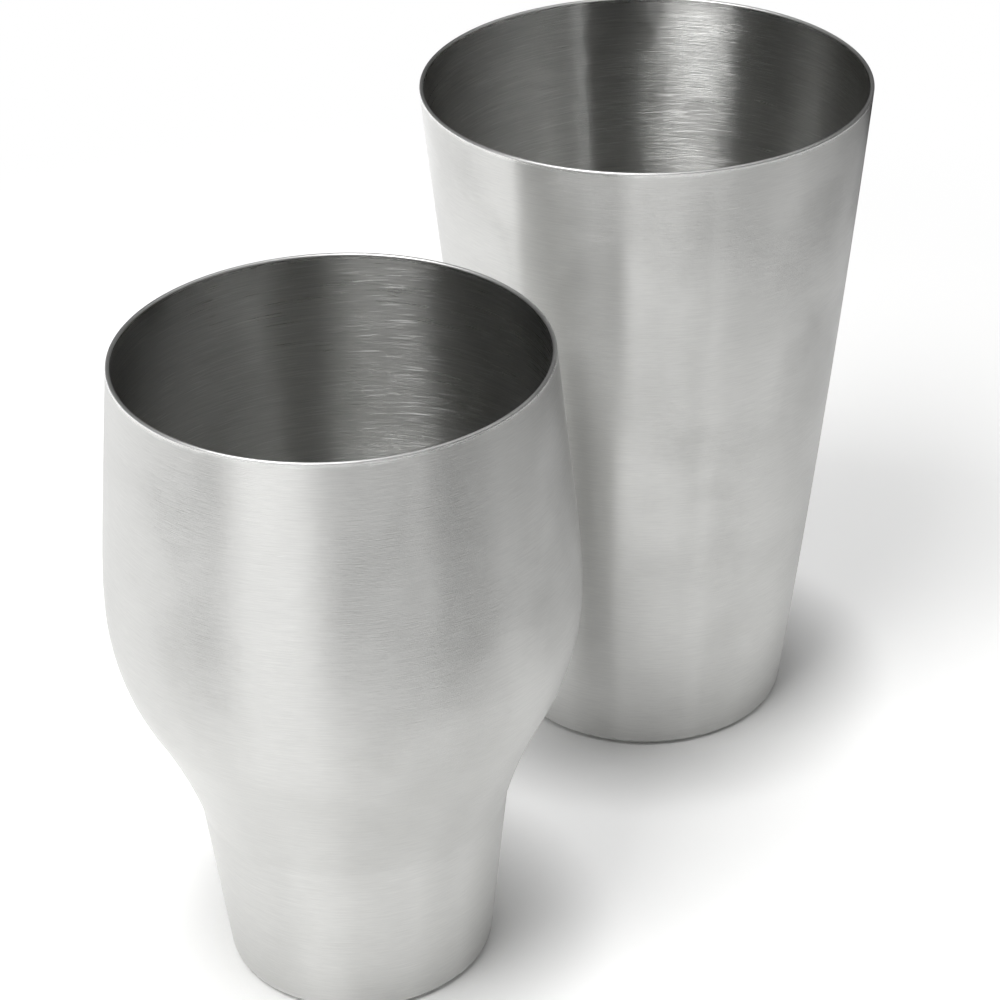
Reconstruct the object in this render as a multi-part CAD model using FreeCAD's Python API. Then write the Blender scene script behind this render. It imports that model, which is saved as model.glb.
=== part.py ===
"""A two-piece cocktail shaker set in brushed stainless steel, its pieces standing side by side.

mixing_tin  a tall tapered tumbler that holds the drink and the ice.
shaker_top  a waisted cup with a belly and a narrow foot. It stands on its foot as a cup, and closes the
            shaker upside down: its lip has the tin's own taper and goes down inside the tin's mouth.

Each piece is one sheet of steel of even thickness, turned round its own upright axis: a panel raised off the
table, a flat ring that it stands on, a rounded corner, the wall, and a rounded rim.

Millimetres, +Z up, the table at z = 0. +X runs from the top to the tin. The origin is on the table, in the
middle of the space that the pair takes up.
"""

import FreeCAD
import Part
import math
import os

# ---- the sheet and the foot, alike on both pieces ----
wall = 0.8                # thickness of the sheet
corner_radius = 2.0       # outside of the bend from the foot ring into the wall
ring_width = 2.0          # flat ring that touches the table
panel_rise = 1.2          # how far the middle of the base stands off the table
panel_bend = 3.0          # width of the double bend between the ring and the panel

# ---- the mixing tin ----
tin_height = 140.0        # table to the top of the rim
tin_mouth_radius = 45.0   # outside of the rim
tin_foot_radius = 29.8    # where the wall's line would meet the table
tin_barrel = 0.7          # how far the wall stands out of a straight cone, halfway up

# ---- the shaker top ----
top_height = 127.5        # table to the top of the rim
top_foot_radius = 25.3    # where the wall's line would meet the table
neck_height = 34.8        # table to the crease where the waist begins
neck_radius = 29.2        # outside of the crease
neck_flare = 16.0         # degrees that the wall leans out just above the crease
crease_radius = 10.0      # outside of the crease's own bend
belly_height = 79.5       # table to the widest place
turn_in_rise = 19.0       # from the belly up to where the straight taper of the lip begins

# ---- how the top closes the tin, upside down ----
closing_depth = 47.0      # how far the top's rim is then below the tin's rim
lip_clearance = 0.2       # gap all round between the top's lip and the tin's wall at that depth
belly_clearance = 0.7     # gap all round between the belly and the tin's wall at that depth

# ---- the pair on the table ----
axis_spacing = 107.0      # from the axis of the top to the axis of the tin


def point(radius, height):
    return FreeCAD.Vector(radius, 0, height)


def heading(lean):
    """The direction that goes up and leans outwards by this many degrees."""
    return point(math.sin(math.radians(lean)), math.cos(math.radians(lean)))


LEVEL = point(1, 0)


# An outline runs from the axis along the underside and up the wall, so the inside of the piece is on its left.
# It is a list of stretches, each an arc or a straight line, and each kept as three stations: start, middle
# and end. A station is a place and the direction in which the outline passes it.

def stretch(start, direction, end):
    """The arc that leaves start in this direction and reaches end, or the line where that is straight."""
    chord = end - start
    along = chord / chord.Length
    across = direction - along * direction.dot(along)
    middle = (start + end) / 2
    if across.Length > 1e-9:
        turn = math.atan2(across.Length, direction.dot(along))
        middle = middle + across / across.Length * (chord.Length / 2 * math.tan(turn / 2))
    leaving = along * (2 * direction.dot(along)) - direction
    return [(start, direction), (middle, along), (end, leaving)]


def double_bend(start, direction, end, leaving):
    """Two arcs that join start to end, tangent to each other and to the directions given at both."""
    chord = end - start
    both = direction + leaving
    spread = 2 * (1 - direction.dot(leaving))
    if spread > 1e-9:
        root = math.sqrt(chord.dot(both) ** 2 + spread * chord.dot(chord))
        reach = (root - chord.dot(both)) / spread
    else:
        reach = chord.dot(chord) / (2 * chord.dot(both))
    meeting = (start + direction * reach + end - leaving * reach) / 2
    first = stretch(start, direction, meeting)
    return [first, stretch(meeting, first[-1][1], end)]


def rounded_corner(corner, direction, leaving, radius):
    """The arc of this radius that rounds a corner between two straight runs."""
    half_turn = math.acos(direction.dot(leaving)) / 2
    reach = radius * math.tan(half_turn)
    return stretch(corner - direction * reach, direction, corner + leaving * reach)


def straight(start, end):
    run = end - start
    return stretch(start, run / run.Length, end)


def foot(wall_foot, wall_direction):
    """The underside from the axis to the top of the rounded corner, for a wall that starts so."""
    corner = rounded_corner(wall_foot, LEVEL, wall_direction, corner_radius)
    ring_outside = corner[0][0]
    ring_inside = ring_outside - LEVEL * ring_width
    panel_edge = point(ring_inside.x - panel_bend, panel_rise)
    panel = straight(point(0, panel_rise), panel_edge)
    bend = double_bend(panel_edge, LEVEL, ring_inside, LEVEL)
    return [panel, *bend, straight(ring_inside, ring_outside), corner]


def moved_inwards(outline, distance):
    """The same outline, this far to its left: every arc keeps its centre."""
    def shifted(station):
        place, direction = station
        left = point(-direction.z, direction.x)
        return place + left * distance, direction
    return [[shifted(station) for station in piece] for piece in outline]


def edge(piece):
    (start, direction), (middle, _), (end, leaving) = piece
    if direction.dot(leaving) > 1 - 1e-12:
        return Part.LineSegment(start, end).toShape()
    return Part.Arc(start, middle, end).toShape()


def vessel(outline, axis_x):
    """Turns the sheet that has this outline as its outer side into a solid standing at axis_x."""
    inner = moved_inwards(outline, wall)
    outer_end, last_direction = outline[-1][-1]
    inner_end = inner[-1][-1][0]
    rim_top = (outer_end + inner_end) / 2 + last_direction * (wall / 2)
    rim = Part.Arc(outer_end, rim_top, inner_end).toShape()
    middle = Part.LineSegment(inner[0][0][0], outline[0][0][0]).toShape()
    inside = [edge(piece) for piece in reversed(inner)]
    profile = Part.Wire([edge(piece) for piece in outline] + [rim] + inside + [middle])
    solid = Part.Face(profile).revolve(point(0, 0), point(0, 1), 360)
    solid.translate(point(axis_x, 0))
    return solid


def rim_station_height(height, lean):
    """Where the wall's outside ends, so that the rounded rim above it reaches this height."""
    return height - wall / 2 * (1 + math.sin(math.radians(lean)))


# ---- the mixing tin: a cone whose wall is one long shallow arc ----
tin_flare = tin_mouth_radius - tin_foot_radius
tin_lean = math.degrees(math.atan2(tin_flare, tin_height))
tin_barrel_turn = math.degrees(2 * math.atan(2 * tin_barrel / math.hypot(tin_flare, tin_height)))


def mixing_tin_outline():
    wall_direction = heading(tin_lean + tin_barrel_turn)
    base = foot(point(tin_foot_radius, 0), wall_direction)
    rim = point(tin_mouth_radius, rim_station_height(tin_height, tin_lean - tin_barrel_turn))
    return base + [stretch(base[-1][-1][0], wall_direction, rim)]


def tin_inside_radius(depth):
    """Inside of the tin's wall this far below its rim. The wall's arc is taken as a parabola."""
    share = 1 - depth / tin_height
    cone = tin_foot_radius + tin_flare * share
    bulge = 4 * tin_barrel * share * (1 - share)
    return cone + bulge - wall / math.cos(math.radians(tin_lean))


# ---- the shaker top: its lip and belly are sized from the tin that they go into ----
def closing_radius(height, clearance):
    """Outside of the top at this height that leaves this gap all round once it closes the tin."""
    return tin_inside_radius(closing_depth - (top_height - height)) - clearance


lip_start_height = belly_height + turn_in_rise
top_rim_radius = closing_radius(top_height, lip_clearance)
lip_start_radius = closing_radius(lip_start_height, lip_clearance)
belly_radius = closing_radius(belly_height, belly_clearance)


def shaker_top_outline():
    foot_direction = heading(math.degrees(math.atan2(neck_radius - top_foot_radius, neck_height)))
    base = foot(point(top_foot_radius, 0), foot_direction)
    neck = point(neck_radius, neck_height)
    crease = rounded_corner(neck, foot_direction, heading(neck_flare), crease_radius)
    foot_wall = straight(base[-1][-1][0], crease[0][0])

    lip_lean = -math.degrees(math.atan2(lip_start_radius - top_rim_radius, top_height - lip_start_height))
    rim = point(top_rim_radius, rim_station_height(top_height, lip_lean))
    lip = straight(point(lip_start_radius, lip_start_height), rim)

    belly = point(belly_radius, belly_height)
    shoulder = double_bend(crease[-1][0], heading(neck_flare), belly, heading(0))
    turn_in = double_bend(belly, heading(0), lip[0][0], lip[0][1])
    return base + [foot_wall, crease, *shoulder, *turn_in, lip]


# ---- both pieces, either side of the origin ----
pair_width = belly_radius + axis_spacing + tin_mouth_radius
top_axis_x = belly_radius - pair_width / 2
tin_axis_x = pair_width / 2 - tin_mouth_radius

pieces = {
    "mixing_tin": vessel(mixing_tin_outline(), tin_axis_x),
    "shaker_top": vessel(shaker_top_outline(), top_axis_x),
}

os.makedirs("parts", exist_ok=True)
for name, solid in pieces.items():
    solid.exportStep(f"parts/{name}.step")
    box = solid.optimalBoundingBox()
    print(f"{name}: valid {solid.isValid()}, {solid.Volume:.1f} mm3, x {box.XMin:.2f} to {box.XMax:.2f}, "
          f"z {box.ZMin:.3f} to {box.ZMax:.3f}")
print(f"top: rim radius {top_rim_radius:.2f}, lip start {lip_start_radius:.2f}, belly {belly_radius:.2f}; "
      f"axes at x {top_axis_x:.3f} and {tin_axis_x:.3f}")
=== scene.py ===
import math
import bpy
import numpy as np
from mathutils import Matrix, Quaternion, Vector


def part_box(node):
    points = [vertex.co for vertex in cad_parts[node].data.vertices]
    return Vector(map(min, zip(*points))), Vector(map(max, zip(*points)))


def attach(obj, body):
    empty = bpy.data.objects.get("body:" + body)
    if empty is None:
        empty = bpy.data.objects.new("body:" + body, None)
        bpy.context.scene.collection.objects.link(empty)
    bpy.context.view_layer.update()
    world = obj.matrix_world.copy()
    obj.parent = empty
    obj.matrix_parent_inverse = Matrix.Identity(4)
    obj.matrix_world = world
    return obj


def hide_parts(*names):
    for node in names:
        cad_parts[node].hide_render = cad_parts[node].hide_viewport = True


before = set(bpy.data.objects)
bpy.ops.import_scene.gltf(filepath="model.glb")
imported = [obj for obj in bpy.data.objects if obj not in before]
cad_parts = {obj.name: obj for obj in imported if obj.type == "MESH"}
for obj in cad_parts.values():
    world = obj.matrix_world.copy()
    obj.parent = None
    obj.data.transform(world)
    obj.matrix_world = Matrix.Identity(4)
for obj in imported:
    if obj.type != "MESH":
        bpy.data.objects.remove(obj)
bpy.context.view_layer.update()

# A shaker in brushed steel: the tapered mixing tin, and the waisted top that stands beside it as a cup and
# closes it upside down. Metres, +Z up, the table at z = 0. Each piece is turned round its own upright axis.
mm = 0.001
straight = 1e-9   # a turn smaller than this, in radians, is none


def heading(lean):
    # the unit vector that goes up and leans outwards by this many radians
    return np.array([math.sin(lean), math.cos(lean)])


def leanOf(vector):
    # how far this vector leans outwards from upright, in radians
    return math.atan2(vector[0], vector[1])


def arcRun(start, lean, end, steps):
    # An arc leaves start at this lean and reaches end. With half its turn h and the share t of the way, the
    # chord from start has length chord * sin(t h) / sin(h) and leans lean + t h. A straight run is h = 0.
    chord = np.subtract(end, start)
    half = leanOf(chord) - lean
    t = np.linspace(0.0, 1.0, steps + 1)
    reach = np.hypot(*chord) * (np.sin(t * half) / math.sin(half) if abs(half) > straight else t)
    leans = lean + t * half
    places = np.asarray(start) + reach[:, None] * np.stack([np.sin(leans), np.cos(leans)], axis=1)
    return places, lean + 2 * t * half


def doubleBend(start, lean, end, endLean, steps):
    # two arcs, tangent to each other and to the leans at both ends: the meeting point lies halfway between
    # the two tips reached by going the same distance on from start and back from end
    first, last = heading(lean), heading(endLean)
    chord = np.subtract(end, start)
    both = chord @ (first + last)
    spread = 2 * (1 - first @ last)
    root = math.sqrt(both ** 2 + spread * (chord @ chord))
    distance = (root - both) / spread if spread > straight else chord @ chord / (2 * both)
    meeting = (start + first * distance + end - last * distance) / 2
    opening = arcRun(start, lean, meeting, steps)
    return [opening, arcRun(meeting, opening[1][-1], end, steps)]


def roundedCorner(corner, lean, endLean, radius, steps):
    # the arc of this radius between two straight runs that would meet at corner: it starts radius * tan(h)
    # before the corner, where h is half the turn
    reach = radius * math.tan(abs(endLean - lean) / 2)
    return arcRun(corner - heading(lean) * reach, lean, corner + heading(endLean) * reach, steps)


sheet = {
    "wall": 0.8 * mm,           # thickness of the steel
    "cornerRadius": 2.0 * mm,   # bend from the foot ring into the wall
    "ringWidth": 2.0 * mm,      # flat ring that touches the table
    "panelRise": 1.2 * mm,      # middle of the base off the table
    "panelBend": 3.0 * mm,      # width of the double bend round the panel
    "level": math.pi / 2,       # the lean of a level run outwards
    "poleRadius": 0.4 * mm,     # innermost ring of faces, closed by a fan on the axis
    "columns": 256,             # faces round the piece
    "panelSteps": 14,
    "bendSteps": 7,             # in each of the two arcs of the double bend
    "ringSteps": 3,
    "cornerSteps": 10,
    "rimSteps": 14,
}


def footRuns(wallFoot, wallLean):
    # the underside from the axis: the raised panel, its double bend, the foot ring and the rounded corner
    level = sheet["level"]
    meeting = np.array([wallFoot, 0.0])
    corner = roundedCorner(meeting, level, wallLean, sheet["cornerRadius"], sheet["cornerSteps"])
    ringOutside = corner[0][0]
    ringInside = ringOutside - [sheet["ringWidth"], 0.0]
    panelEdge = np.array([ringInside[0] - sheet["panelBend"], sheet["panelRise"]])
    panelStart = np.array([sheet["poleRadius"], sheet["panelRise"]])
    return [arcRun(panelStart, level, panelEdge, sheet["panelSteps"]),
            *doubleBend(panelEdge, level, ringInside, level, sheet["bendSteps"]),
            arcRun(ringInside, level, ringOutside, sheet["ringSteps"]), corner]


def sheetProfile(runs):
    # The outside runs, a half circle over the rim, then the inside: every outside point moved in by the wall
    # along its own normal, walked back down to the axis. Gives the places, their outward normals, and how
    # many rows the outside and the rim have.
    places = np.concatenate([runs[0][0]] + [run[0][1:] for run in runs[1:]])
    leans = np.concatenate([runs[0][1]] + [run[1][1:] for run in runs[1:]])
    normals = np.stack([np.cos(leans), -np.sin(leans)], axis=1)
    half = sheet["wall"] / 2
    middle = places[-1] - normals[-1] * half
    turn = np.linspace(0.0, math.pi, sheet["rimSteps"] + 1)[1:-1]
    rimNormals = np.outer(np.cos(turn), normals[-1]) + np.outer(np.sin(turn), heading(leans[-1]))
    inside = places - normals * sheet["wall"]
    allPlaces = np.concatenate([places, middle + rimNormals * half, inside[::-1]])
    allNormals = np.concatenate([normals, rimNormals, -normals[::-1]])
    return allPlaces, allNormals, len(places), len(turn)


def turnedPiece(name, axisX, runs, finishes):
    # The profile turned round the upright axis: x = axis + r cos a, y = r sin a, z = height, on a grid of
    # profile rows and angle columns, with one vertex on the axis at each end. U goes once round; V is the
    # length along the profile in metres. finishes names a material for each stretch of the sheet.
    places, normals, outsideRows, rimRows = sheetProfile(runs)
    rows, steps = len(places), sheet["columns"]
    angle = np.arange(steps) * 2 * math.pi / steps
    r, z = places[:, :1], places[:, 1:]
    grid = np.stack([axisX + r * np.cos(angle), r * np.sin(angle), z + 0 * angle], axis=-1).reshape(-1, 3)
    nr, nz = normals[:, :1], normals[:, 1:]
    gridNormals = np.stack([nr * np.cos(angle), nr * np.sin(angle), nz + 0 * angle], axis=-1).reshape(-1, 3)
    poles = np.array([[axisX, 0.0, places[0, 1]], [axisX, 0.0, places[-1, 1]]])
    vertices = np.concatenate([grid, poles])
    vertexNormals = np.concatenate([gridNormals, [[0, 0, -1.0], [0, 0, 1.0]]])

    row, column = np.meshgrid(np.arange(rows - 1), np.arange(steps), indexing="ij")
    after = (column + 1) % steps
    quads = np.stack([row * steps + column, row * steps + after,
                      (row + 1) * steps + after, (row + 1) * steps + column], axis=-1).reshape(-1, 4)
    ring = np.arange(steps)
    ringAfter = (ring + 1) % steps
    bottomPole, innerPole = rows * steps, rows * steps + 1
    last = (rows - 1) * steps
    bottomFan = np.stack([np.full(steps, bottomPole), ringAfter, ring], axis=1)
    innerFan = np.stack([np.full(steps, innerPole), last + ring, last + ringAfter], axis=1)

    length = np.concatenate([[0.0], np.cumsum(np.hypot(*np.diff(places, axis=0).T))]) + places[0, 0]
    u0, u1 = column.ravel() / steps, (column.ravel() + 1) / steps
    v0, v1 = length[row.ravel()], length[row.ravel() + 1]
    quadUv = np.stack([u0, v0, u1, v0, u1, v1, u0, v1], axis=1).reshape(-1, 2)
    a, b = ring / steps, (ring + 1) / steps
    zero, end = np.zeros(steps), np.full(steps, length[-1])
    bottomUv = np.stack([(a + b) / 2, zero, b, zero + length[0], a, zero + length[0]], axis=1).reshape(-1, 2)
    innerUv = np.stack([(a + b) / 2, end + length[0], a, end, b, end], axis=1).reshape(-1, 2)

    mesh = bpy.data.meshes.new(name)
    mesh.from_pydata(vertices.tolist(), [], quads.tolist() + bottomFan.tolist() + innerFan.tolist())
    mesh.uv_layers.new(name="turned").uv.foreach_set(
        "vector", np.concatenate([quadUv, bottomUv, innerUv]).astype(np.float32).ravel())
    mesh.shade_smooth()
    mesh.normals_split_custom_set_from_vertices(vertexNormals.tolist())

    # the underside's runs are those before the corner, and the inside floor lies over them
    slot = {stretch: index for index, stretch in enumerate(finishes)}
    baseRows = sum(len(run[0]) - 1 for run in runs[:4])
    rowOf = row.ravel()
    finish = np.full(len(quads), slot["Inside"])
    finish[rowOf < outsideRows + rimRows] = slot["Rim"]
    finish[rowOf < outsideRows - 1] = slot["Outside"]
    finish[rowOf < baseRows] = slot["Base"]
    finish[rowOf >= rows - 1 - baseRows] = slot["InsideFloor"]
    fans = np.repeat([slot["Base"], slot["InsideFloor"]], steps)
    for material in finishes.values():
        mesh.materials.append(material)
    mesh.polygons.foreach_set("material_index", np.concatenate([finish, fans]).astype(np.int32))
    mesh.update()
    piece = bpy.data.objects.new(name, mesh)
    bpy.context.scene.collection.objects.link(piece)
    print(f"{name}: {len(vertices)} vertices, {2 * len(quads) + 2 * steps} triangles")
    return piece


def addNode(tree, kind, values=None, links=None, **settings):
    # one node; values and links are given by input, as numbers and as sockets, and settings by option
    node = tree.nodes.new(kind)
    for key, value in settings.items():
        setattr(node, key, value)
    for key, value in (values or {}).items():
        node.inputs[key].default_value = value
    for key, source in (links or {}).items():
        tree.links.new(source, node.inputs[key])
    return node


def worked(tree, operation, *values):
    # one Math node; every value is a number or a socket
    node = tree.nodes.new("ShaderNodeMath")
    node.operation = operation
    for socket, value in zip(node.inputs, values):
        if isinstance(value, bpy.types.NodeSocket):
            tree.links.new(value, socket)
        else:
            socket.default_value = value
    return node.outputs[0]


def ranged(tree, value, span, low=0.0, high=1.0, kind="LINEAR"):
    # the value carried from the span to low and high, and held there outside the span
    node = addNode(tree, "ShaderNodeMapRange",
                   {"From Min": span[0], "From Max": span[1], "To Min": low, "To Max": high},
                   {"Value": value}, interpolation_type=kind)
    return node.outputs[0]


def mixed(tree, share, first, second):
    # two colours, each a socket or plain values, mixed by a share that is a socket
    node = addNode(tree, "ShaderNodeMix", links={0: share}, data_type="RGBA")
    for socket, colour in ((node.inputs[6], first), (node.inputs[7], second)):
        if isinstance(colour, bpy.types.NodeSocket):
            tree.links.new(colour, socket)
        else:
            socket.default_value = colour
    return node.outputs[2]


def newGroup(name, inputs, output):
    # a node group of plain numbers; gives it, its inputs, its one output and its Texture Coordinate node
    group = bpy.data.node_groups.new(name, "ShaderNodeTree")
    for label, value in inputs.items():
        socket = group.interface.new_socket(name=label, in_out="INPUT", socket_type="NodeSocketFloat")
        socket.default_value = value
    group.interface.new_socket(name=output, in_out="OUTPUT", socket_type="NodeSocketFloat")
    given = group.nodes.new("NodeGroupInput").outputs
    result = group.nodes.new("NodeGroupOutput").inputs[0]
    return group, given, result, addNode(group, "ShaderNodeTexCoord")


def makeBrushedLines():
    # Lines left by brushing while the piece turns. Noise is read at (x / length, y / length, along / width),
    # so a line is long round the piece and thin along its profile, and closes on itself with no seam.
    group, given, result, place = newGroup(
        "brushedLines", {"Line Length": 8.0, "Line Width": 0.15, "Detail": 3.0, "Seed": 0.0}, "Lines")
    where = addNode(group, "ShaderNodeSeparateXYZ", links={0: place.outputs["Object"]}).outputs
    along = addNode(group, "ShaderNodeSeparateXYZ", links={0: place.outputs["UV"]}).outputs[1]
    perLength = worked(group, "DIVIDE", 1 / mm, given["Line Length"])
    perWidth = worked(group, "DIVIDE", 1 / mm, given["Line Width"])
    spot = addNode(group, "ShaderNodeCombineXYZ", links={
        0: worked(group, "MULTIPLY_ADD", where[0], perLength, given["Seed"]),
        1: worked(group, "MULTIPLY", where[1], perLength), 2: worked(group, "MULTIPLY", along, perWidth)})
    noise = addNode(group, "ShaderNodeTexNoise", {"Scale": 1.0, "Roughness": 0.6},
                    {"Vector": spot.outputs[0], "Detail": given["Detail"]}, noise_dimensions="3D")
    group.links.new(noise.outputs[0], result)
    return group


scratchCut = {
    "rarest": 0.80,     # the noise that makes a scratch where the share is 0
    "lowering": 0.3,    # how much less is enough where the share is 1
    "edge": 0.06,       # how far past that a scratch is at full strength
}


def makeStrayScratches():
    # Single scratches: noise read at (x / length, y / length, (z + slope y) / width), so that it lies in
    # thin tilted slices, and cut off so that only its peaks are left. 1 is in a scratch.
    group, given, result, place = newGroup(
        "strayScratches",
        {"Scratch Length": 6.0, "Scratch Width": 0.12, "Slope": 0.15, "Share": 0.3, "Seed": 0.0},
        "Scratches")
    where = addNode(group, "ShaderNodeSeparateXYZ", links={0: place.outputs["Object"]}).outputs
    perLength = worked(group, "DIVIDE", 1 / mm, given["Scratch Length"])
    perWidth = worked(group, "DIVIDE", 1 / mm, given["Scratch Width"])
    tilted = worked(group, "MULTIPLY_ADD", where[1], given["Slope"], where[2])
    spot = addNode(group, "ShaderNodeCombineXYZ", links={
        0: worked(group, "MULTIPLY_ADD", where[0], perLength, given["Seed"]),
        1: worked(group, "MULTIPLY", where[1], perLength), 2: worked(group, "MULTIPLY", tilted, perWidth)})
    noise = addNode(group, "ShaderNodeTexNoise", {"Scale": 1.0, "Detail": 1.0}, {"Vector": spot.outputs[0]},
                    noise_dimensions="3D")
    lowered = worked(group, "MULTIPLY", given["Share"], scratchCut["lowering"])
    lowest = worked(group, "SUBTRACT", scratchCut["rarest"], lowered)
    peak = worked(group, "DIVIDE", worked(group, "SUBTRACT", noise.outputs[0], lowest), scratchCut["edge"])
    clamped = worked(group, "MINIMUM", worked(group, "MAXIMUM", peak, 0.0), 1.0)
    group.links.new(clamped, result)
    return group


def makeSlowPatches():
    # noise read at place / patch size, for smudges and for the slight unevenness of spun sheet
    group, given, result, place = newGroup(
        "slowPatches", {"Patch Size": 20.0, "Detail": 2.0, "Seed": 0.0}, "Patches")
    noise = addNode(group, "ShaderNodeTexNoise", links={
        "Vector": place.outputs["Object"], "W": given["Seed"], "Detail": given["Detail"],
        "Scale": worked(group, "DIVIDE", 1 / mm, given["Patch Size"])}, noise_dimensions="4D")
    group.links.new(noise.outputs[0], result)
    return group


def makeEdgeWear():
    # 1 where hands and tables rub the sheet bright, just below the rim's height and just over the table: it
    # falls as 1 - distance / width, with noise added to the distance for a ragged border. All in mm.
    group, given, result, place = newGroup(
        "edgeWear", {"Rim Height": 140.0, "Rim Width": 1.5, "Foot Width": 2.5, "Raggedness": 1.0}, "Worn")
    height = addNode(group, "ShaderNodeSeparateXYZ", links={0: place.outputs["Object"]}).outputs[2]
    heightMm = worked(group, "DIVIDE", height, mm)
    ragged = addNode(group, "ShaderNodeTexNoise", {"Scale": 400.0, "Detail": 3.0},
                     {"Vector": place.outputs["Object"]})
    swing = worked(group, "MULTIPLY", worked(group, "SUBTRACT", ragged.outputs[0], 0.5), given["Raggedness"])
    fromRim = worked(group, "ADD", worked(group, "SUBTRACT", given["Rim Height"], heightMm), swing)
    fromTable = worked(group, "ADD", heightMm, swing)
    rim = worked(group, "SUBTRACT", 1.0, worked(group, "DIVIDE", fromRim, given["Rim Width"]))
    foot = worked(group, "SUBTRACT", 1.0, worked(group, "DIVIDE", fromTable, given["Foot Width"]))
    both = worked(group, "MAXIMUM", worked(group, "MAXIMUM", rim, foot), 0.0)
    group.links.new(worked(group, "MINIMUM", both, 1.0), result)
    return group


brushedLines = makeBrushedLines()
strayScratches = makeStrayScratches()
slowPatches = makeSlowPatches()
edgeWear = makeEdgeWear()

spans = {
    "keenness": (0.38, 0.58),       # smudge noise over which the lines go from shallow to full depth
    "shallowest": 0.25,
    "tone": (0.32, 0.68),           # line noise from the dark tone to the light one
    "stain": (0.52, 0.78),          # smudge noise over which a smudge darkens
    "lineRoughness": (0.3, 0.7),    # coarse line noise over which the roughness changes
    "smudgeRoughness": (0.35, 0.75),
}


def steel(name, look, rimHeight, brightness):
    # brushed steel: the tangent runs round the piece, so highlights spread across the brushing
    material = bpy.data.materials.new(name)
    material.use_nodes = True
    tree = material.node_tree
    tree.nodes.clear()

    def placed(group, values):
        return addNode(tree, "ShaderNodeGroup", values, node_tree=group).outputs[0]

    def toned(key):
        return (*(brightness * channel for channel in look[key]), 1.0)

    # the patterns, each with a seed of its own
    seed = look["seed"]
    fine = placed(brushedLines, {"Line Length": look["fineLength"], "Line Width": look["fineWidth"],
                                 "Detail": 3.0, "Seed": seed})
    coarse = placed(brushedLines, {"Line Length": look["coarseLength"], "Line Width": look["coarseWidth"],
                                   "Detail": 4.0, "Seed": seed + 7.0})
    smudge = placed(slowPatches, {"Patch Size": look["smudgeSize"], "Detail": 3.0, "Seed": seed + 3.0})
    waves = placed(slowPatches, {"Patch Size": look["waveSize"], "Detail": 1.0, "Seed": seed + 11.0})
    scratch = placed(strayScratches, {"Scratch Length": look["scratchLength"],
                                      "Scratch Width": look["scratchWidth"], "Slope": look["scratchSlope"],
                                      "Share": look["scratchShare"], "Seed": seed + 19.0})
    worn = placed(edgeWear, {"Rim Height": rimHeight / mm, "Rim Width": look["rimWear"],
                             "Foot Width": look["footWear"]})

    # colour: the lines' two tones, then smudges, then what is scratched or rubbed bright
    lines = worked(tree, "ADD", worked(tree, "MULTIPLY", fine, 1 - look["coarseShare"]),
                   worked(tree, "MULTIPLY", coarse, look["coarseShare"]))
    tone = mixed(tree, ranged(tree, lines, spans["tone"]), toned("darkTone"), toned("lightTone"))
    stain = ranged(tree, smudge, spans["stain"], 0.0, look["smudgeShare"])
    stained = mixed(tree, stain, tone, toned("smudgeTone"))
    bright = worked(tree, "MAXIMUM", worked(tree, "MULTIPLY", scratch, look["scratchBright"]),
                    worked(tree, "MULTIPLY", worn, look["wornBright"]))
    colour = mixed(tree, bright, stained, toned("wornTone"))

    # roughness: the same patterns, each adding or taking its own amount
    spread = look["roughSpread"]
    roughness = worked(tree, "ADD", ranged(tree, coarse, spans["lineRoughness"], -spread, spread),
                       ranged(tree, smudge, spans["smudgeRoughness"], look["rough"],
                              look["rough"] + look["smudgeRough"]))
    roughness = worked(tree, "MULTIPLY_ADD", scratch, look["scratchRough"], roughness)
    roughness = worked(tree, "MULTIPLY_ADD", worn, -look["wornPolish"], roughness)

    # relief: the lines are deeper in some patches, scratches cut in and the whole sheet waves slightly
    keenness = ranged(tree, smudge, spans["keenness"], spans["shallowest"], 1.0, "SMOOTHSTEP")
    relief = [(worked(tree, "MULTIPLY", fine, keenness), look["fineDepth"]),
              (worked(tree, "MULTIPLY", coarse, keenness), look["coarseDepth"]),
              (scratch, -look["scratchDepth"]), (waves, look["waveDepth"])]
    below = {}
    for height, depth in relief:
        bump = addNode(tree, "ShaderNodeBump", {"Strength": 1.0, "Distance": depth * mm},
                       {"Height": height, **below})
        below = {"Normal": bump.outputs[0]}

    tangent = addNode(tree, "ShaderNodeTangent", direction_type="UV_MAP", uv_map="turned")
    shader = addNode(tree, "ShaderNodeBsdfPrincipled",
                     {"Metallic": 1.0, "Anisotropic": look["anisotropy"], "Anisotropic Rotation": 0.25},
                     {"Base Color": colour, "Roughness": roughness, "Tangent": tangent.outputs[0], **below})
    addNode(tree, "ShaderNodeOutputMaterial", links={"Surface": shader.outputs[0]})
    return material


# Every look is lengths in mm, colours, and plain shares or roughnesses.
outsideLook = {
    "seed": 0.0,
    "darkTone": (0.60, 0.60, 0.59),
    "lightTone": (0.68, 0.68, 0.665),
    "rough": 0.30,
    "roughSpread": 0.015,     # how far the coarse lines change the roughness, either way
    "smudgeRough": 0.04,      # added where it is smudged
    "anisotropy": 1.0,
    "fineLength": 4.0,        # brushed lines
    "fineWidth": 0.14,
    "fineDepth": 0.065,
    "coarseLength": 12.0,     # broader and longer lines among them
    "coarseWidth": 0.4,
    "coarseDepth": 0.004,
    "coarseShare": 0.2,
    "waveSize": 14.0,         # slight unevenness of the spun sheet
    "waveDepth": 0.010,
    "smudgeSize": 22.0,
    "smudgeShare": 0.35,
    "smudgeTone": (0.53, 0.53, 0.515),
    "scratchLength": 5.0,
    "scratchWidth": 0.16,
    "scratchSlope": 0.12,
    "scratchShare": 0.1,
    "scratchDepth": 0.002,
    "scratchRough": 0.06,
    "scratchBright": 0.6,
    "wornTone": (0.78, 0.78, 0.77),
    "wornBright": 0.8,
    "wornPolish": 0.10,       # taken off the roughness where it is rubbed
    "rimWear": 1.2,
    "footWear": 2.0,
}
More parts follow.
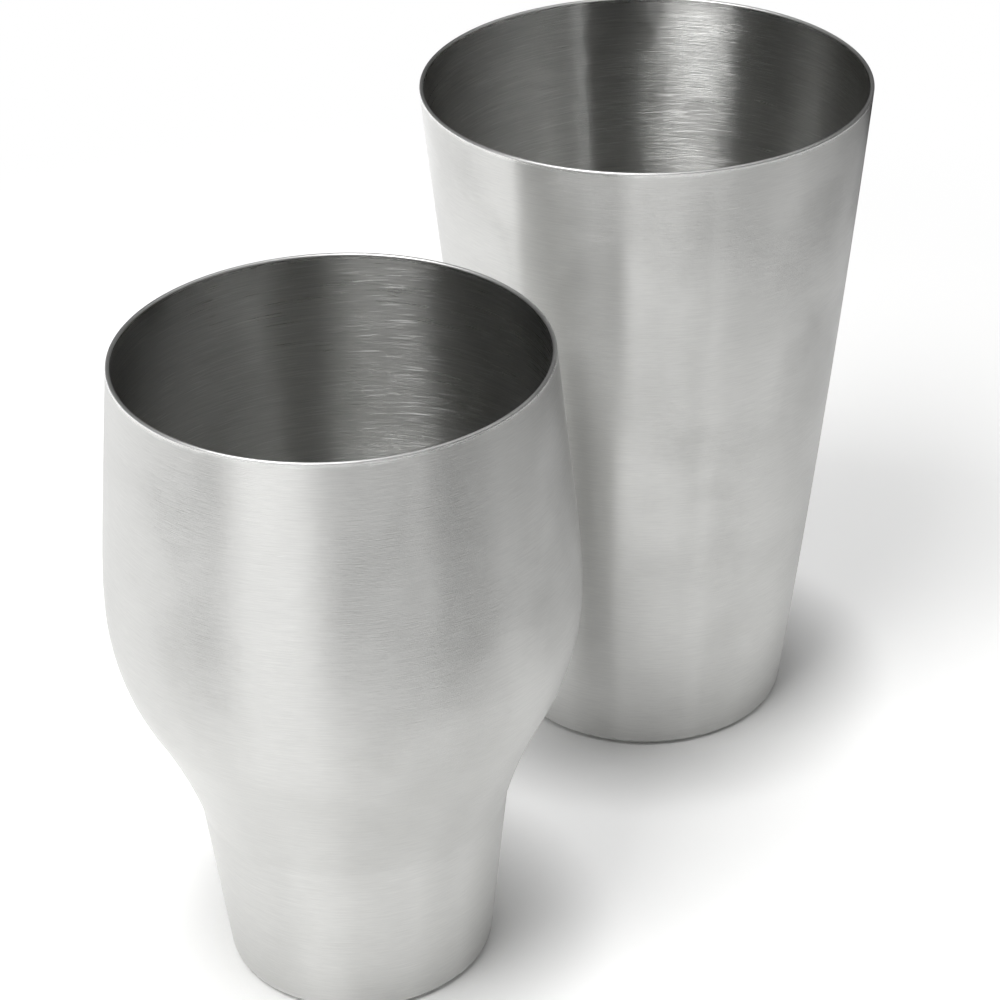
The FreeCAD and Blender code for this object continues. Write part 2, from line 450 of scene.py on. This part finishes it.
insideLook = {
    **outsideLook,
    "seed": 31.0,
    # the inside's dark tone is set lower than the outside's: the brushing's own two tones, with painted
    # shade for the hollow
    "darkTone": (0.53, 0.53, 0.52),
    "lightTone": (0.70, 0.70, 0.68),
    "rough": 0.28,
    "roughSpread": 0.02,
    "fineLength": 8.0,
    "fineDepth": 0.11,
    "coarseLength": 18.0,
    "coarseDepth": 0.04,
    "coarseShare": 0.4,
    "scratchLength": 8.0,
    "scratchWidth": 0.25,
    "scratchSlope": 0.10,
    "scratchShare": 0.6,
    "scratchDepth": 0.004,
    "scratchRough": 0.12,
    "footWear": 0.01,
}
rimLook = {
    **outsideLook,
    "seed": 5.0,
    "darkTone": (0.76, 0.76, 0.75),
    "lightTone": (0.84, 0.84, 0.83),
    "rough": 0.55,
    "roughSpread": 0.03,
    "anisotropy": 0.0,
    "fineDepth": 0.001,
    "coarseDepth": 0.001,
}
baseLook = {**outsideLook, "seed": 17.0, "rough": 0.34, "coarseDepth": 0.02, "scratchShare": 0.7}
# the floor inside keeps the inside's darker tones, with their painted shade
floorLook = {**insideLook, "seed": 43.0, "coarseDepth": 0.02, "rimWear": 0.01}


def steelFinishes(piece, rimHeight, brightness):
    # a material for each stretch of the sheet, from the underside round the rim to the floor inside
    looks = {"Base": baseLook, "Outside": outsideLook, "Rim": rimLook, "Inside": insideLook,
             "InsideFloor": floorLook}
    return {stretch: steel(piece + "Steel" + stretch, look, rimHeight, brightness)
            for stretch, look in looks.items()}


tin = {
    "height": 140.0 * mm,
    "mouthRadius": 45.0 * mm,
    "footRadius": 29.8 * mm,    # where the wall's line would meet the table
    "barrel": 0.7 * mm,         # the wall stands this far out of a straight cone, halfway up
    "wallSteps": 90,
    "brightness": 1.04,         # the tin's steel colours are all scaled this much against the top's
}


def rimStation(height, lean):
    # where the outside ends, so that the half circle above it reaches this height
    return height - sheet["wall"] / 2 * (1 + math.sin(lean))


def tinRuns():
    # the foot, then the wall as one long shallow arc
    flare = tin["mouthRadius"] - tin["footRadius"]
    lean = math.atan2(flare, tin["height"])
    turn = 2 * math.atan(2 * tin["barrel"] / math.hypot(flare, tin["height"]))
    foot = footRuns(tin["footRadius"], lean + turn)
    rim = np.array([tin["mouthRadius"], rimStation(tin["height"], lean - turn)])
    return foot + [arcRun(foot[-1][0][-1], lean + turn, rim, tin["wallSteps"])]


top = {
    "height": 127.5 * mm,
    "footRadius": 25.3 * mm,    # where the wall's line would meet the table
    "neckHeight": 34.8 * mm,    # the crease where the waist begins
    "neckRadius": 29.2 * mm,
    "neckFlare": math.radians(16.0),
    "creaseRadius": 10.0 * mm,
    "bellyHeight": 79.5 * mm,
    "turnInRise": 19.0 * mm,    # from the belly up to where the straight taper of the lip begins
    "closingDepth": 47.0 * mm,  # upside down, the rim stops this far below the tin's rim
    "lipClearance": 0.2 * mm,
    "bellyClearance": 0.7 * mm,
    "footWallSteps": 16,
    "creaseSteps": 8,
    "shoulderSteps": 18,        # in each of its two arcs
    "turnInSteps": 8,           # in each of its two arcs
    "lipSteps": 16,
    "brightness": 1.0,
}


def closingRadius(height, clearance):
    # Outside of the top at this height, with this gap to the tin's wall once it closes the tin. The tin's
    # wall is taken as a parabola: at the share s of the way up it is the cone's radius + 4 barrel s (1 - s).
    flare = tin["mouthRadius"] - tin["footRadius"]
    share = 1 - (top["closingDepth"] - (top["height"] - height)) / tin["height"]
    lean = math.atan2(flare, tin["height"])
    outside = tin["footRadius"] + flare * share + 4 * tin["barrel"] * share * (1 - share)
    return outside - sheet["wall"] / math.cos(lean) - clearance


def topRuns():
    # foot, its straight wall, crease, shoulder up to the belly, turn inwards and the straight lip
    footLean = math.atan2(top["neckRadius"] - top["footRadius"], top["neckHeight"])
    foot = footRuns(top["footRadius"], footLean)
    neck = np.array([top["neckRadius"], top["neckHeight"]])
    crease = roundedCorner(neck, footLean, top["neckFlare"], top["creaseRadius"], top["creaseSteps"])
    footEnd, creaseStart = foot[-1][0][-1], crease[0][0]
    footWall = arcRun(footEnd, leanOf(creaseStart - footEnd), creaseStart, top["footWallSteps"])

    lipStart = np.array([0.0, top["bellyHeight"] + top["turnInRise"]])
    lipStart[0] = closingRadius(lipStart[1], top["lipClearance"])
    rimRadius = closingRadius(top["height"], top["lipClearance"])
    lipLean = math.atan2(rimRadius - lipStart[0], top["height"] - lipStart[1])
    rim = np.array([rimRadius, rimStation(top["height"], lipLean)])
    belly = np.array([closingRadius(top["bellyHeight"], top["bellyClearance"]), top["bellyHeight"]])
    shoulder = doubleBend(crease[0][-1], top["neckFlare"], belly, 0.0, top["shoulderSteps"])
    turnIn = doubleBend(belly, 0.0, lipStart, leanOf(rim - lipStart), top["turnInSteps"])
    lip = arcRun(lipStart, leanOf(rim - lipStart), rim, top["lipSteps"])
    return foot + [footWall, crease, *shoulder, *turnIn, lip]


def axisOf(node):
    # x of the upright axis of the piece that this node is
    low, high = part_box(node)
    return (low[0] + high[0]) / 2


tinSteel = steelFinishes("tin", tin["height"], tin["brightness"])
tinPiece = turnedPiece("mixingTin", axisOf("mixing_tin"), tinRuns(), tinSteel)
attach(tinPiece, "tin")
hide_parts("mixing_tin")

topSteel = steelFinishes("top", top["height"], top["brightness"])
topPiece = turnedPiece("shakerTop", axisOf("shaker_top"), topRuns(), topSteel)
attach(topPiece, "top")
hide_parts("shaker_top")


# The camera stands beyond the top and looks down past it, so that the tin is behind and to the right.
camera = {
    "fromTin": (-478.3 * mm, -284.4 * mm, 372.3 * mm),   # its place from the foot of the tin's axis
    "azimuth": math.atan2(0.558, 0.830),                 # of the level line of sight, from +X towards +Y
    "down": math.radians(30.58),
    "roll": math.radians(-1.31),
    "lens": 108.4,
    "sensor": 36.0,
    "nearest": 10.0 * mm,
}


def makeCamera():
    # its axes are worked out from the line of sight, then turned about it by the roll
    look = camera["azimuth"]
    level = Vector((math.cos(look), math.sin(look), 0.0))
    right = Vector((math.sin(look), -math.cos(look), 0.0))
    forward = level * math.cos(camera["down"]) - Vector((0, 0, math.sin(camera["down"])))
    up = right.cross(forward)
    rightRolled = right * math.cos(camera["roll"]) + up * math.sin(camera["roll"])
    upRolled = up * math.cos(camera["roll"]) - right * math.sin(camera["roll"])
    data = bpy.data.cameras.new("camera")
    data.lens = camera["lens"]
    data.sensor_width = camera["sensor"]
    data.clip_start = camera["nearest"]
    item = bpy.data.objects.new("camera", data)
    place = Vector(camera["fromTin"]) + Vector((axisOf("mixing_tin"), 0.0, 0.0))
    basis = Matrix((rightRolled, upRolled, -forward)).transposed().to_4x4()
    item.matrix_world = Matrix.Translation(place) @ basis
    bpy.context.scene.collection.objects.link(item)
    bpy.context.scene.camera = item


makeCamera()
print("camera placed")

# The studio, in metres. Azimuths are degrees round the middle of the pair, 0 towards the camera and positive
# to its right.
studio = {
    "middle": (0.0, 0.0, 0.06),
    "floorReach": 6.0,
    "floorTone": (0.88, 0.88, 0.87),
    "floorLift": 0.48,            # white added to the floor, for what the camera and the metal see
    "paintedShadeReach": 0.026,        # painted contact shade: the white fades this near to whatever stands on the floor
    "paintedShadeDepth": 3.0,          # how strongly, as a power
    "farFrom": 0.12,              # the floor turns plain white from here
    "farTo": 0.36,                # to here
    "cardSteps": 64,
    "cardRadius": 0.30,           # a white card that stands on the floor, on the left
    "cardHeight": 0.115,
    "cardSpan": (-200, -160, -68, -20),   # where it starts, is at full height, begins to fall and ends
    "cardGlow": 1.5,
    "flagRadius": 0.36,           # a black card that stands on the floor, on the right
    "flagHeight": 0.30,
    "flagSpan": (12, 70, 135, 175),
    "tentRadius": 2.2,            # a dark cloth over everything, with a white gap below it
    "tentGap": 0.12,
    "tentRings": 16,
    "tentColumns": 64,
    "darkTone": (0.03, 0.03, 0.03),
}

# Each lamp faces the middle: its degrees and distance from there, its size, its radiance and its roll.
lamps = {
    "keyBox": {"azimuth": -39, "elevation": 60, "distance": 0.85, "width": 0.39, "height": 0.42,
               "radiance": 9.8, "roll": 22},
    "keyLower": {"azimuth": -32, "elevation": 24, "distance": 0.85, "width": 0.56, "height": 0.50,
                 "radiance": 0.7},
    "overhead": {"azimuth": 180, "elevation": 82, "distance": 1.0, "width": 1.0, "height": 1.0,
                 "radiance": 0.62, "shape": "ELLIPSE"},
    "rightStrip": {"azimuth": 94, "elevation": 45, "distance": 0.9, "width": 0.05, "height": 0.36,
                   "radiance": 9.0, "roll": -43},
    "rightThinStrip": {"azimuth": 45, "elevation": 45, "distance": 0.9, "width": 0.025, "height": 0.50,
                       "radiance": 12.0, "roll": -18},
}


def towards(azimuth, elevation=0.0):
    # the direction at these degrees of azimuth and elevation, as arrays or single numbers
    a, e = np.radians(azimuth), np.radians(elevation)
    look = camera["azimuth"]
    x = -math.cos(look) * np.cos(a) + math.sin(look) * np.sin(a)
    y = -math.sin(look) * np.cos(a) - math.cos(look) * np.sin(a)
    return np.stack([x * np.cos(e), y * np.cos(e), np.sin(e) + 0 * a], axis=-1)


def softbox(name, azimuth, elevation, distance, width, height, radiance, roll=0.0, shape="RECTANGLE"):
    # Power = radiance * pi * area. The roll, in degrees, leans the lamp's upright sides, so that all of an
    # edge is seen at one place on a brushed wall.
    data = bpy.data.lights.new(name, "AREA")
    data.shape = shape
    data.size, data.size_y = width, height
    area = width * height * (math.pi / 4 if shape == "ELLIPSE" else 1.0)
    data.energy = radiance * math.pi * area
    item = bpy.data.objects.new(name, data)
    middle = Vector(studio["middle"])
    item.location = middle + Vector(towards(azimuth, elevation)) * distance
    item.rotation_mode = "QUATERNION"
    facing = (middle - item.location).to_track_quat("-Z", "Y")
    item.rotation_quaternion = facing @ Quaternion((0, 0, 1), math.radians(roll))
    item.visible_camera = False
    bpy.context.scene.collection.objects.link(item)


def plainMaterial(name):
    material = bpy.data.materials.new(name)
    material.use_nodes = True
    material.node_tree.nodes.clear()
    return material, material.node_tree


def paleFloor():
    # paper that takes shadows, plus a little white of its own that is faded near whatever stands on it as a
    # painted contact shadow; far away it is plain white
    material, tree = plainMaterial("paleFloor")
    path = addNode(tree, "ShaderNodeLightPath")
    seen = worked(tree, "MAXIMUM", path.outputs["Is Camera Ray"],
                 worked(tree, "MAXIMUM", path.outputs["Is Glossy Ray"], path.outputs["Is Transmission Ray"]))
    place = addNode(tree, "ShaderNodeTexCoord")
    distance = addNode(tree, "ShaderNodeVectorMath", links={0: place.outputs["Object"]}, operation="LENGTH")
    far = ranged(tree, distance.outputs["Value"], (studio["farFrom"], studio["farTo"]), kind="SMOOTHSTEP")
    paper = addNode(tree, "ShaderNodeBsdfDiffuse", {"Color": (*studio["floorTone"], 1.0)})
    # painted contact shade: ambient occlusion takes the white away near whatever stands on the floor
    openness = addNode(tree, "ShaderNodeAmbientOcclusion", {"Distance": studio["paintedShadeReach"]}, samples=8)
    paintedContactShade = worked(tree, "POWER", openness.outputs["AO"], studio["paintedShadeDepth"])
    liftWithPaintedShade = worked(tree, "MULTIPLY", paintedContactShade, studio["floorLift"])
    lift = addNode(tree, "ShaderNodeEmission", links={"Strength": worked(tree, "MULTIPLY", seen, liftWithPaintedShade)})
    near = addNode(tree, "ShaderNodeAddShader", links={0: paper.outputs[0], 1: lift.outputs[0]})
    white = addNode(tree, "ShaderNodeEmission", links={"Strength": seen})
    mix = addNode(tree, "ShaderNodeMixShader", links={0: worked(tree, "MULTIPLY", far, seen),
                                                      1: near.outputs[0], 2: white.outputs[0]})
    addNode(tree, "ShaderNodeOutputMaterial", links={"Surface": mix.outputs[0]})
    return material


def darkCloth():
    material, tree = plainMaterial("darkCloth")
    cloth = addNode(tree, "ShaderNodeBsdfDiffuse", {"Color": (*studio["darkTone"], 1.0)})
    addNode(tree, "ShaderNodeOutputMaterial", links={"Surface": cloth.outputs[0]})
    return material


def whiteCard():
    material, tree = plainMaterial("whiteCard")
    glow = addNode(tree, "ShaderNodeEmission", {"Strength": studio["cardGlow"]})
    addNode(tree, "ShaderNodeOutputMaterial", links={"Surface": glow.outputs[0]})
    return material


def backdrop(name, grid, material, seen=False):
    # a stage piece from a grid of rows and columns of places, which the camera sees only if it is asked to
    rows, columns = grid.shape[:2]
    row, column = np.meshgrid(np.arange(rows - 1), np.arange(columns - 1), indexing="ij")
    corner = (row * columns + column).ravel()
    quads = np.stack([corner, corner + 1, corner + columns + 1, corner + columns], axis=1)
    mesh = bpy.data.meshes.new(name)
    mesh.from_pydata(grid.reshape(-1, 3).tolist(), [], quads.tolist())
    mesh.materials.append(material)
    item = bpy.data.objects.new(name, mesh)
    item.visible_camera = seen
    bpy.context.scene.collection.objects.link(item)
    return item


def makeFloor():
    # one square on the table's plane
    side = np.array([-studio["floorReach"], studio["floorReach"]])
    x, y = np.meshgrid(side, side)
    backdrop("floor", np.stack([x, y, 0 * x], axis=-1), paleFloor(), seen=True)


def makeCards():
    # Upright sheets bent round the pair. Each fades to nothing at both ends: with the share s that its span
    # gives, the height is the full one times s s (3 - 2 s).
    for name, kind, material in (("whiteCard", "card", whiteCard()), ("blackCard", "flag", darkCloth())):
        span = studio[kind + "Span"]
        a = np.linspace(span[0], span[-1], studio["cardSteps"])
        share = np.interp(a, span, (0.0, 1.0, 1.0, 0.0))
        height = studio[kind + "Height"] * share * share * (3 - 2 * share)
        foot = towards(a) * studio[kind + "Radius"]
        card = backdrop(name, np.stack([foot, foot + height[:, None] * [0, 0, 1.0]]), material)
        card.visible_shadow = False


def makeTent():
    # a dome over the floor, open at the bottom
    low = math.degrees(math.asin(studio["tentGap"] / studio["tentRadius"]))
    e, a = np.meshgrid(np.linspace(low, 90.0, studio["tentRings"] + 1),
                       np.linspace(-180.0, 180.0, studio["tentColumns"] + 1), indexing="ij")
    backdrop("darkTent", towards(a, e) * studio["tentRadius"], darkCloth())


def makeWorld():
    # plain white all round
    world = bpy.data.worlds.new("studio")
    world.use_nodes = True
    tree = world.node_tree
    tree.nodes.clear()
    background = addNode(tree, "ShaderNodeBackground", {"Color": (1.0, 1.0, 1.0, 1.0), "Strength": 1.0})
    addNode(tree, "ShaderNodeOutputWorld", links={"Surface": background.outputs[0]})
    bpy.context.scene.world = world


makeWorld()
makeFloor()
makeCards()
makeTent()
for name, lamp in lamps.items():
    softbox(name, **lamp)
bpy.context.scene.view_settings.view_transform = "Standard"
print(f"studio made, {len(lamps)} lamps")
